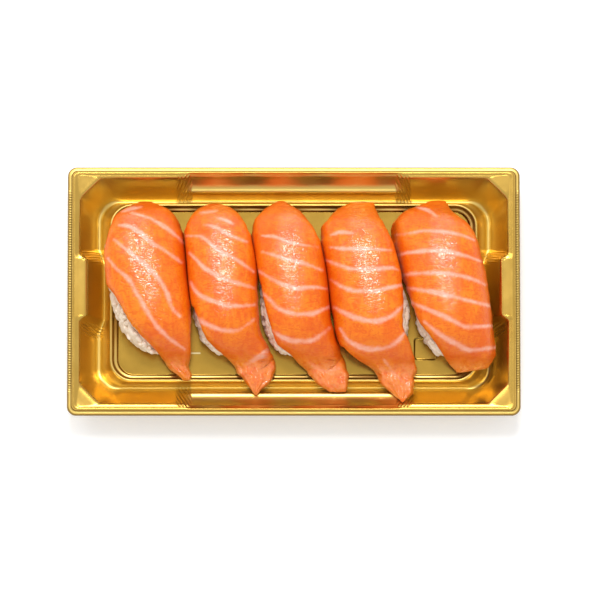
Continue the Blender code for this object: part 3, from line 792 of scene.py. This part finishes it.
def floor_faces_down(tray):
    """Whether the sheet's floor, in a spot near its middle, has its normals turned down."""
    spot = Vector((20 * MM, 0.0))
    face = min(tray.data.polygons, key=lambda f: (f.center.xy - spot).length)
    return face.normal.z < 0


def build_tray(settings):
    """The tray's upper face as one surface through its levels, given its thickness downwards."""
    lines = [level_line(row) for row in softened(LEVELS, PROFILE_CUTS)]
    floor = [[Vector((p.x * share, p.y * share, p.z)) for p in lines[-1]] for share in FLOOR_RINGS]
    tray = lattice("tray_shell", lines + floor)
    face_outward(tray)
    if floor_faces_down(tray):
        edit_all(tray, bpy.ops.mesh.flip_normals)
    sheet = tray.modifiers.new("sheet", "SOLIDIFY")
    sheet.thickness = settings.sheet
    sheet.offset = -1
    apply_modifiers(tray)
    hand_over(tray, ["tray"], "gold_film", gold_material, settings)


# Rice


def block_point(nigiri, along, around):
    """A point of the block's skin: along is the angle from end to end, around the one about its length."""

    def bent(value):
        return math.copysign(abs(value) ** (2 / RICE_SQUARENESS), value)

    y = nigiri.rice_y + RICE_HALF_LENGTH * bent(math.cos(along))
    belt = abs(math.sin(along)) ** (2 / RICE_SQUARENESS)
    x = nigiri.axis_x(y) + nigiri.half_width * belt * bent(math.cos(around))
    rise = bent(math.sin(around)) * belt
    z = RICE_WIDEST + rise * (RICE_HEIGHT - RICE_WIDEST if rise > 0 else RICE_UNDER)
    return Vector((x, y, FLOOR_HEIGHT + GAP + max(0.0, z)))


def rice_core(nigiri, name):
    """The block itself, a closed oval with a flat underside."""
    rows = [
        [block_point(nigiri, math.pi * row / BLOCK_ROWS, 2 * math.pi * spoke / BLOCK_SPOKES)
         for spoke in range(BLOCK_SPOKES)]
        for row in range(BLOCK_ROWS + 1)
    ]
    return lattice(name, rows)


def grain_shape():
    """One grain of cooked rice, as points and faces: a sphere drawn out and bent a little."""
    bpy.ops.object.select_all(action="DESELECT")
    bpy.ops.mesh.primitive_ico_sphere_add(subdivisions=2, radius=0.5)
    ball = bpy.context.object
    for v in ball.data.vertices:
        x, y, z = v.co
        v.co = (x * GRAIN_WIDTH * MM, (y * GRAIN_DEPTH + z * z * GRAIN_BEND) * MM, z * GRAIN_LENGTH * MM)
    points = np.array([v.co[:] for v in ball.data.vertices])
    faces = [tuple(face.vertices) for face in ball.data.polygons]
    bpy.data.objects.remove(ball)
    return points, faces


def grain_spot(nigiri, step, rng):
    """A place on the block's skin, and the way out of the block there. Many steps cover the block evenly."""
    bearing = step * GOLDEN_ANGLE + rng.uniform(-GRAIN_JITTER, GRAIN_JITTER)
    out_x, out_y = math.cos(bearing), math.sin(bearing)
    reach = (abs(out_x) ** RICE_SQUARENESS + abs(out_y) ** RICE_SQUARENESS) ** (-1 / RICE_SQUARENESS)
    share = (step * GRAIN_HEIGHT_STEP + rng.uniform(0, GRAIN_JITTER)) % 1.0
    z = RICE_HEIGHT * (GRAIN_LOWEST + GRAIN_REACH * share)
    above = (z - RICE_WIDEST) / (RICE_HEIGHT - RICE_WIDEST)
    below = (RICE_WIDEST - z) / RICE_UNDER
    belt = (1 - min(max(above, below, 0.0), 1.0) ** RICE_SQUARENESS) ** (1 / RICE_SQUARENESS)
    y = nigiri.rice_y + RICE_HALF_LENGTH * out_y * reach * belt
    x = nigiri.axis_x(y) + nigiri.half_width * out_x * reach * belt
    way_out = Vector((out_x / nigiri.half_width, out_y / RICE_HALF_LENGTH, max(above, 0) * GRAIN_UPWARD))
    way_out.normalize()
    return Vector((x, y, FLOOR_HEIGHT + GAP + z)), way_out


def laid_grain(shape, nigiri, step, rng):
    """A grain's points where it lies: sunk in or standing out by chance, turned about, and off the floor."""
    spot, way_out = grain_spot(nigiri, step, rng)
    centre = spot - way_out * rng.uniform(*GRAIN_SINK) * MM
    lie = way_out.to_track_quat("X", "Z").to_matrix()
    spin = Matrix.Rotation(rng.uniform(0, math.pi), 3, "X")
    tilt = Matrix.Rotation(rng.uniform(-GRAIN_TILT, GRAIN_TILT), 3, "Y")
    size = rng.uniform(*GRAIN_SIZES)
    points = shape @ np.array(lie @ (spin @ tilt)).T * size + np.array(centre)
    lowest = points[:, 2].min()
    if lowest < FLOOR_HEIGHT + GRAIN_LIFT:
        points[:, 2] += FLOOR_HEIGHT + GRAIN_LIFT - lowest
    return points


def grain_is_free(points):
    """Whether a grain keeps clear of the tray's bead and of every slice."""
    x, y, z = points[:, 0], points[:, 1], points[:, 2]
    off_floor = (np.abs(x) > TRAY_LENGTH / 2 - BEAD_END) | (np.abs(y) > TRAY_WIDTH / 2 - BEAD_SIDE)
    if np.any(off_floor & (z < BEAD_HEIGHT + GRAIN_CLEARANCE)):
        return False
    for number, nigiri in enumerate(NIGIRI):
        left, right, _, _ = slice_edges(number, y)
        inside = (y > nigiri.tail) & (y < nigiri.head)
        inside &= (x > left - GRAIN_CLEARANCE) & (x < right + GRAIN_CLEARANCE)
        if np.any(inside & (z > slice_under(nigiri, x, y) - GRAIN_CLEARANCE)):
            return False
    return True


def loose_grains(number, settings):
    """All the grains of a block that have room, as one object."""
    shape, faces = grain_shape()
    rng = random.Random(settings.seed + number)
    points, polygons = [], []
    for step in range(settings.grains):
        placed = laid_grain(shape, NIGIRI[number - 1], step, rng)
        if grain_is_free(placed):
            start = len(points)
            points += placed.tolist()
            polygons += [tuple(start + i for i in face) for face in faces]
    mesh = bpy.data.meshes.new(f"rice_grains_{number}")
    mesh.from_pydata(points, [], polygons)
    grains = bpy.data.objects.new(mesh.name, mesh)
    bpy.context.scene.collection.objects.link(grains)
    return grains


def build_rice(number, settings):
    """A block of rice: a core of its own, with true-size grains laid over the sides that can be seen."""
    core = rice_core(NIGIRI[number - 1], f"rice_block_{number}")
    grains = loose_grains(number, settings)
    only(core)
    grains.select_set(True)
    bpy.ops.object.join()
    face_outward(core)
    hand_over(core, [f"rice_{number}"], "moist_rice", rice_material, settings)


# Salmon


def slice_under(nigiri, x, y):
    """The height of the slice's lower face at many places: over the rice, beside it and on the tray."""
    insets, heights = zip(*FRONT_REST)
    rest = np.interp((TRAY_WIDTH / 2 + y) / MM, insets, heights) * MM
    along = y - nigiri.rice_y
    end = 1 - (np.abs(along) / np.where(along > 0, DRAPE_BACK, DRAPE_FRONT)) ** DRAPE_END_BEND
    beside = np.abs(x - nigiri.axis_x(y)) / (nigiri.half_width + DRAPE_ROOM)
    bend = np.maximum(0, 1 - beside**DRAPE_SIDE_BEND) ** (1 / DRAPE_SIDE_BEND)
    crown = RICE_HEIGHT - RICE_WIDEST + DRAPE_ROOM
    hang = np.maximum(0, beside - 1) * nigiri.half_width * HANG_SLOPE
    over_rice = crown * (np.minimum(end, 0) + np.maximum(end, 0) * bend)
    top = FLOOR_HEIGHT + GAP + RICE_WIDEST + over_rice - hang
    share = np.clip(1 - np.abs(top - rest) / REST_BLEND, 0, 1)
    return np.maximum(top, rest) + REST_BLEND * share * share / 4


def through(points, places):
    """A smooth curve through points (place, value) that doesn't swing out between them, at many places."""
    points = points[np.argsort(points[:, 0])]
    at, value = points[:, 0], points[:, 1]
    step, rise = np.diff(at), np.diff(value)
    steep = rise / step
    slope = np.zeros(len(at))
    turns = steep[:-1] * steep[1:] > 0
    weight = (step[1:] + 2 * step[:-1]) / (3 * (step[1:] + step[:-1]))
    mean = steep[:-1] * steep[1:] / (weight * steep[1:] + (1 - weight) * steep[:-1] + 1e-12)
    slope[1:-1][turns] = mean[turns]
    slope[0], slope[-1] = steep[0], steep[-1]
    index = np.clip(np.searchsorted(at, places) - 1, 0, len(step) - 1)
    t = np.clip((places - at[index]) / step[index], 0, 1)
    h = step[index]
    return (
        (2 * t**3 - 3 * t**2 + 1) * value[index] + (t**3 - 2 * t**2 + t) * h * slope[index]
        + (3 * t**2 - 2 * t**3) * value[index + 1] + (t**3 - t**2) * h * slope[index + 1]
    )


def slice_edges(number, y):
    """A slice's two edges at many places, parted from the slices beside it, and the room beside each."""
    own = NIGIRI[number]
    left, right = through(own.left, y) - EDGE_SPREAD, through(own.right, y) + EDGE_SPREAD
    room_left, room_right = np.full(y.shape, OPEN_ROOM), np.full(y.shape, OPEN_ROOM)
    for other in NIGIRI[max(0, number - 1):number + 2]:
        shared = (y <= other.head) & (y >= other.tail)
        if other.rice_x < own.rice_x:
            edge = np.where(shared, through(other.right, y) + EDGE_SPREAD + SLICE_GAP, -1)
            left = np.where(left < edge, (left + edge) / 2, left)
            room_left = np.maximum(left - edge, 0)
        elif other.rice_x > own.rice_x:
            edge = np.where(shared, through(other.left, y) - EDGE_SPREAD - SLICE_GAP, 1)
            right = np.where(right > edge, (right + edge) / 2, right)
            room_right = np.maximum(edge - right, 0)
    return left, right, room_left, room_right


def near_line(x, y, points):
    """The distance from each place to a smooth line through points, and how far along the line that is."""
    best, share = np.full(x.shape, 1e9), np.zeros(x.shape)
    along = np.arange(len(points), dtype=float)
    fine = np.linspace(0, along[-1], 6 * (len(points) - 1) + 1)
    line = np.stack([through(np.stack([along, points[:, k]], axis=1), fine) for k in (0, 1)], axis=1)
    for index, ((ax, ay), (bx, by)) in enumerate(zip(line, line[1:])):
        dx, dy = bx - ax, by - ay
        t = np.clip(((x - ax) * dx + (y - ay) * dy) / (dx * dx + dy * dy), 0, 1)
        far = np.hypot(x - ax - t * dx, y - ay - t * dy)
        share = np.where(far < best, (index + t) / (len(line) - 1), share)
        best = np.minimum(best, far)
    return best, share


def unevenness(points, scale, seed):
    """Smooth noise from -1 to 1 at each point, with so many waves to the metre."""
    offset = Vector((seed * 7.3, seed * 3.1, 0))
    values = [noise.noise(Vector(p) * scale + offset) for p in points.reshape(-1, 3)]
    return np.array(values).reshape(points.shape[:-1])


def ragged_edges(number, y):
    """The slice's edges at each row, ragged where there is room, and most of all near the tail's tip."""
    left, right, room_left, room_right = slice_edges(number - 1, y)
    rice_front = NIGIRI[number - 1].rice_y - RICE_HALF_LENGTH
    near_tip = np.clip((rice_front - y) / (TIP_STRETCH * MM), 0, 1)
    for edge, room, inward in ((left, room_left, 1), (right, room_right, -1)):
        places = np.stack([edge, y, np.full(SLICE_ROWS, inward * 50 * MM)], axis=1)
        nicks = (NICK_DEPTH + TIP_NICKS * near_tip) * unevenness(places, NICK_WAVES, number)
        ragged = EDGE_INSET + FRAY_DEPTH * unevenness(places, FRAY_WAVES, number) + nicks
        edge += inward * ragged * MM * np.clip(room / (RAGGED_ROOM * MM), 0, 1)
    return left, right


class Sheet:
    """A draped slice in rows from head to tail: both faces, and what its relief and masks come from."""

    def __init__(self, number, thickness):
        self.number, self.nigiri = number, NIGIRI[number - 1]
        head, tail = self.nigiri.head, self.nigiri.tail
        even = np.linspace(0, 1, SLICE_ROWS)
        rows = head + (tail - head) * (0.65 * even + 0.35 * (0.5 - 0.5 * np.cos(np.pi * even)))
        left, right = (edge[:, None] for edge in ragged_edges(number, rows))
        self.across = np.sin(np.linspace(-np.pi / 2, np.pi / 2, SLICE_ACROSS))[None, :]
        self.down = even[:, None]
        self.y = np.repeat(rows[:, None], SLICE_ACROSS, axis=1)
        self.ends = (1 - np.abs(2 * self.down - 1) ** 9) ** 0.5
        self.sides = np.sqrt(np.clip(1 - np.abs(self.across) ** 7, 0, 1))
        x = (left + right) / 2 + (right - left) / 2 * LOWER_SHARE * self.across
        under = slice_under(self.nigiri, x, self.y)
        self.slope = self.slope_across(x)
        lean = np.sqrt(1 + self.slope**2)
        full = thickness * (END_THICKNESS + (1 - END_THICKNESS) * np.sin(np.pi * self.down) ** 0.7)
        thick = full * self.ends * self.sides * (1 - SIDE_LOSS * np.abs(self.across) ** 3)
        outer_x, outer_z = x - self.slope / lean * thick, under + thick / lean
        low = np.minimum(x, outer_x).min(1)[:, None]
        high = np.maximum(x, outer_x).max(1)[:, None]
        x, outer_x = (left + (v - low) * ((right - left) / (high - low)) for v in (x, outer_x))
        self.lower = np.stack([x, self.y, under], axis=-1)
        self.upper = np.stack([outer_x, self.y, outer_z], axis=-1)
        tip_start = self.nigiri.rice_y - RICE_HALF_LENGTH - TIP_SETBACK
        self.tip = np.clip((tip_start - self.y) / TIP_LENGTH, 0, 1)

    def slope_across(self, x):
        """How steeply the lower face rises across the slice."""
        step = 0.2 * MM
        rise = slice_under(self.nigiri, x + step, self.y) - slice_under(self.nigiri, x - step, self.y)
        return rise / (2 * step)

    def uneven(self, scale, seed, stretch=1.0):
        """The slice's own unevenness of its upper face."""
        return unevenness(self.upper * stretch, scale, self.number + seed)

    def raise_relief(self):
        """Soft waves all over the upper face, and folds and pleats on the tail's tip."""
        relief = self.uneven(SOFT_WAVES, 0) * SOFT_HEIGHT + self.uneven(FINE_WAVES, 20) * FINE_HEIGHT
        relief += self.tip * self.uneven(FOLD_WAVES, 60, stretch=(1.5, 0.8, 0)) * FOLD_HEIGHT
        pleats = np.sin(PLEATS * self.across + 5 * self.uneven(PLEAT_WAVES, 70))
        relief += self.tip * pleats * PLEAT_HEIGHT
        self.upper[..., 2] += relief * self.sides * self.ends

    def sink_fat(self):
        """The mask of the fat lines, where the photo's view shows them. They also lie a little lower."""
        x, y, z = np.moveaxis(self.upper, -1, 0)
        seen_y = y * math.cos(VIEW_TILT) + (z - VIEW_HEIGHT) * math.sin(VIEW_TILT)
        fat = np.zeros(seen_y.shape)
        for index, line in enumerate(self.nigiri.fat):
            away, share = near_line(x, seen_y, line)
            middle = np.sin(np.pi * np.clip(share, 0.04, 0.96)) ** 0.5
            wobble = self.uneven(FAT_WAVES, index + 40)
            width = (0.6 + 0.35 * middle + 0.3 * wobble) * (0.8 + 0.5 * self.down) * MM
            strength = 0.45 + 0.55 * middle + 0.5 * self.uneven(SOFT_WAVES, index + 80)
            fat = np.maximum(fat, (1 - 0.6 * self.tip) * strength * np.exp(-((away / width) ** 1.6)))
        self.upper[..., 2] -= fat * FAT_DEPTH * self.sides * self.ends
        return fat

    def steepness(self):
        """From 0 where the upper face is level to 1 where it falls away steeply, and 0 on the tail's tip. It
        is the mask by which shade is painted on the flesh.
        """
        fall = np.gradient(self.upper[..., 2], axis=0) / np.gradient(self.upper[..., 1], axis=0)
        return np.clip((np.hypot(self.slope, fall) - 0.35) / 1.3, 0, 1) * (1 - self.tip)

    def crest(self):
        """The top of the slice towards its head, where the light mirrors, and weaker on the tail's tip."""
        along = (self.y - CREST_Y) / CREST_LENGTH
        aside = (self.upper[..., 0] - self.nigiri.axis_x(self.y) - CREST_X) / CREST_WIDTH
        return np.exp(-((along**2 + aside**2) ** 1.5)) * (1 - self.tip) + 0.6 * self.tip


def round_about(below, above):
    """Joins rows of the lower face with those of the upper one, in the order that goes round the slice."""
    return np.concatenate([below, above[:, ::-1]], axis=1)


def store_masks(piece, loop, masks):
    """Writes masks to the mesh, looked up by each vertex's place."""
    flat = loop.reshape(-1, 3)
    tree = kdtree.KDTree(len(flat))
    for i, p in enumerate(flat):
        tree.insert(p, i)
    tree.balance()
    order = [tree.find(v.co)[1] for v in piece.data.vertices]
    for name, values in masks.items():
        layer = piece.data.attributes.new(name, "FLOAT", "POINT")
        layer.data.foreach_set("value", values.reshape(-1)[order])


def build_slice(number, settings):
    """A slice of salmon, draped over its rice, with its fat, its thin places and its wet crest as masks."""
    sheet = Sheet(number, settings.slice_thickness)
    sheet.raise_relief()
    fat = sheet.sink_fat()
    loop = round_about(sheet.lower, sheet.upper)
    for end in (0, -1):
        loop[end] = loop[end].mean(axis=0)
    bare, full = np.zeros(fat.shape), np.ones(fat.shape)
    masks = {
        "fat": round_about(bare, fat),
        # The steep places, where shade is painted on the flesh.
        "deep": round_about(full, sheet.steepness()),
        "thin": round_about(bare, sheet.tip),
        "crest": round_about(bare, sheet.crest()),
    }
    piece = lattice(f"salmon_slice_{number}", loop)
    store_masks(piece, loop, masks)
    face_outward(piece)
    hand_over(piece, [f"salmon_{number}"], "salmon_flesh", salmon_material, settings)


# Stage


def softbox(name, place, size, power):
    """A rectangular light that is turned to the tray."""
    bpy.ops.object.light_add(type="AREA", location=place)
    lamp = bpy.context.object
    lamp.name = name
    lamp.data.shape = "RECTANGLE"
    lamp.data.size, lamp.data.size_y = size
    lamp.data.energy = power
    lamp.rotation_euler = Vector(place).to_track_quat("Z", "Y").to_euler()


def white_room(brightness):
    """An even white studio all round, which the film and the wet skin mirror."""
    world = bpy.data.worlds.new("studio")
    world.use_nodes = True
    background = world.node_tree.nodes["Background"]
    background.inputs[0].default_value = WHITE
    background.inputs[1].default_value = brightness
    bpy.context.scene.world = world


def photo_camera():
    """The camera of the photo's view, from the front and almost straight above."""
    data = bpy.data.cameras.new("camera")
    camera = bpy.data.objects.new("camera", data)
    bpy.context.scene.collection.objects.link(camera)
    away = Vector((0, -math.sin(VIEW_TILT), math.cos(VIEW_TILT)))
    camera.location = Vector(VIEW_MIDDLE) + away * VIEW_DISTANCE
    camera.rotation_euler = (VIEW_TILT, 0, 0)
    data.sensor_width = SENSOR
    data.lens = SENSOR * VIEW_DISTANCE / (PICTURE_WIDTH * PIXEL)
    data.clip_end = 20
    bpy.context.scene.camera = camera
    bpy.context.scene.view_settings.view_transform = "Standard"


def build_stage(settings):
    """The pale floor under the tray, the lights, the studio and the camera."""
    bpy.ops.object.select_all(action="DESELECT")
    bpy.ops.mesh.primitive_plane_add(size=STAGE_SIZE)
    floor = bpy.context.object
    floor.name = "floor"
    floor.data.materials.append(floor_material())
    softbox("key", KEY_PLACE, KEY_SIZE, settings.key_power)
    softbox("overhead", OVERHEAD_PLACE, OVERHEAD_SIZE, settings.overhead_power)
    softbox("strip", STRIP_PLACE, STRIP_SIZE, settings.strip_power)
    white_room(settings.surround)
    photo_camera()


# Add-on


def length(name, description, default, low, high):
    return bpy.props.FloatProperty(name=name, description=description, default=default, min=low, max=high,
                                   precision=4, unit="LENGTH", subtype="DISTANCE")


def colour(name, description, default):
    return bpy.props.FloatVectorProperty(name=name, description=description, default=default, size=3,
                                         min=0.0, max=1.0, subtype="COLOR")


def power(name, description, default):
    return bpy.props.FloatProperty(name=name, description=description, default=default, min=0, unit="POWER")


class SushiTraySettings(bpy.types.PropertyGroup):
    """Thicknesses, grains and colours of the tray and the food"""

    sheet: length("Sheet", "Thickness of the tray's plastic", 0.0006, 0.0003, 0.001)
    slice_thickness: length("Slice", "Thickness of a slice of salmon", 0.005, 0.003, 0.006)
    grains: bpy.props.IntProperty(name="Grains", description="Places tried for grains on each block of rice",
                                  default=900, min=50, max=1500)
    seed: bpy.props.IntProperty(name="Seed", description="Seed of the grains' places and turns", default=7)
    film: colour("Film", "Darker gold of the film", (0.63, 0.385, 0.075))
    film_light: colour("Light film", "Lighter gold of the film", (0.69, 0.435, 0.095))
    rice: colour("Rice", "Darker colour of the rice", (0.88, 0.70, 0.53))
    rice_light: colour("Light rice", "Lighter colour of the rice", (0.97, 0.83, 0.67))
    flesh: colour("Flesh", "Deeper orange of the salmon", (0.86, 0.143, 0.002))
    flesh_light: colour("Light flesh", "Lighter orange of the salmon", (0.94, 0.250, 0.006))
    fat: colour("Fat", "Darker colour of the fat lines", (0.93, 0.34, 0.20))
    fat_light: colour("Light fat", "Lighter colour of the fat lines", (0.95, 0.47, 0.34))


class SushiStageSettings(bpy.types.PropertyGroup):
    """Strengths of the stage's lights"""

    key_power: power("Key", "Power of the key softbox", 9.0)
    overhead_power: power("Overhead", "Power of the softbox above the camera", 6.0)
    strip_power: power("Strip", "Power of the light behind the tray for the highlights", 34.0)
    surround: bpy.props.FloatProperty(name="Surround", description="Brightness of the studio around",
                                      default=0.77, min=0)


class SUSHI_OT_tray(bpy.types.Operator):
    """Build the gold tray"""

    bl_idname = "sushi.tray"
    bl_label = "Tray"

    def execute(self, context):
        build_tray(context.scene.sushi_tray)
        return {"FINISHED"}


class SUSHI_OT_rice(bpy.types.Operator):
    """Build the five blocks of rice"""

    bl_idname = "sushi.rice"
    bl_label = "Rice"

    def execute(self, context):
        for number in range(1, len(NIGIRI) + 1):
            build_rice(number, context.scene.sushi_tray)
        return {"FINISHED"}


class SUSHI_OT_salmon(bpy.types.Operator):
    """Build the five slices of salmon"""

    bl_idname = "sushi.salmon"
    bl_label = "Salmon"

    def execute(self, context):
        for number in range(1, len(NIGIRI) + 1):
            build_slice(number, context.scene.sushi_tray)
        return {"FINISHED"}


class SUSHI_OT_stage(bpy.types.Operator):
    """Set up the pale floor, the soft lights and the camera"""

    bl_idname = "sushi.stage"
    bl_label = "Stage"

    def execute(self, context):
        build_stage(context.scene.sushi_stage)
        return {"FINISHED"}


OPERATORS = (SUSHI_OT_tray, SUSHI_OT_rice, SUSHI_OT_salmon, SUSHI_OT_stage)


class SUSHI_PT_panel(bpy.types.Panel):
    """The sidebar's list of the settings and of the operators"""

    bl_label = "Sushi tray"
    bl_idname = "SUSHI_PT_panel"
    bl_space_type = "VIEW_3D"
    bl_region_type = "UI"
    bl_category = "Sushi tray"

    def draw(self, context):
        for settings in (context.scene.sushi_tray, context.scene.sushi_stage):
            for name in type(settings).__annotations__:
                self.layout.prop(settings, name)
        for operator in OPERATORS:
            self.layout.operator(operator.bl_idname)


CLASSES = (SushiTraySettings, SushiStageSettings, *OPERATORS, SUSHI_PT_panel)


def register():
    for kind in CLASSES:
        bpy.utils.register_class(kind)
    bpy.types.Scene.sushi_tray = bpy.props.PointerProperty(type=SushiTraySettings)
    bpy.types.Scene.sushi_stage = bpy.props.PointerProperty(type=SushiStageSettings)


def unregister():
    del bpy.types.Scene.sushi_stage
    del bpy.types.Scene.sushi_tray
    for kind in reversed(CLASSES):
        bpy.utils.unregister_class(kind)


def main():
    register()
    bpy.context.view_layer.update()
    bpy.ops.sushi.tray()
    bpy.ops.sushi.rice()
    bpy.ops.sushi.salmon()
    bpy.ops.sushi.stage()


if __name__ == "__main__":
    main()
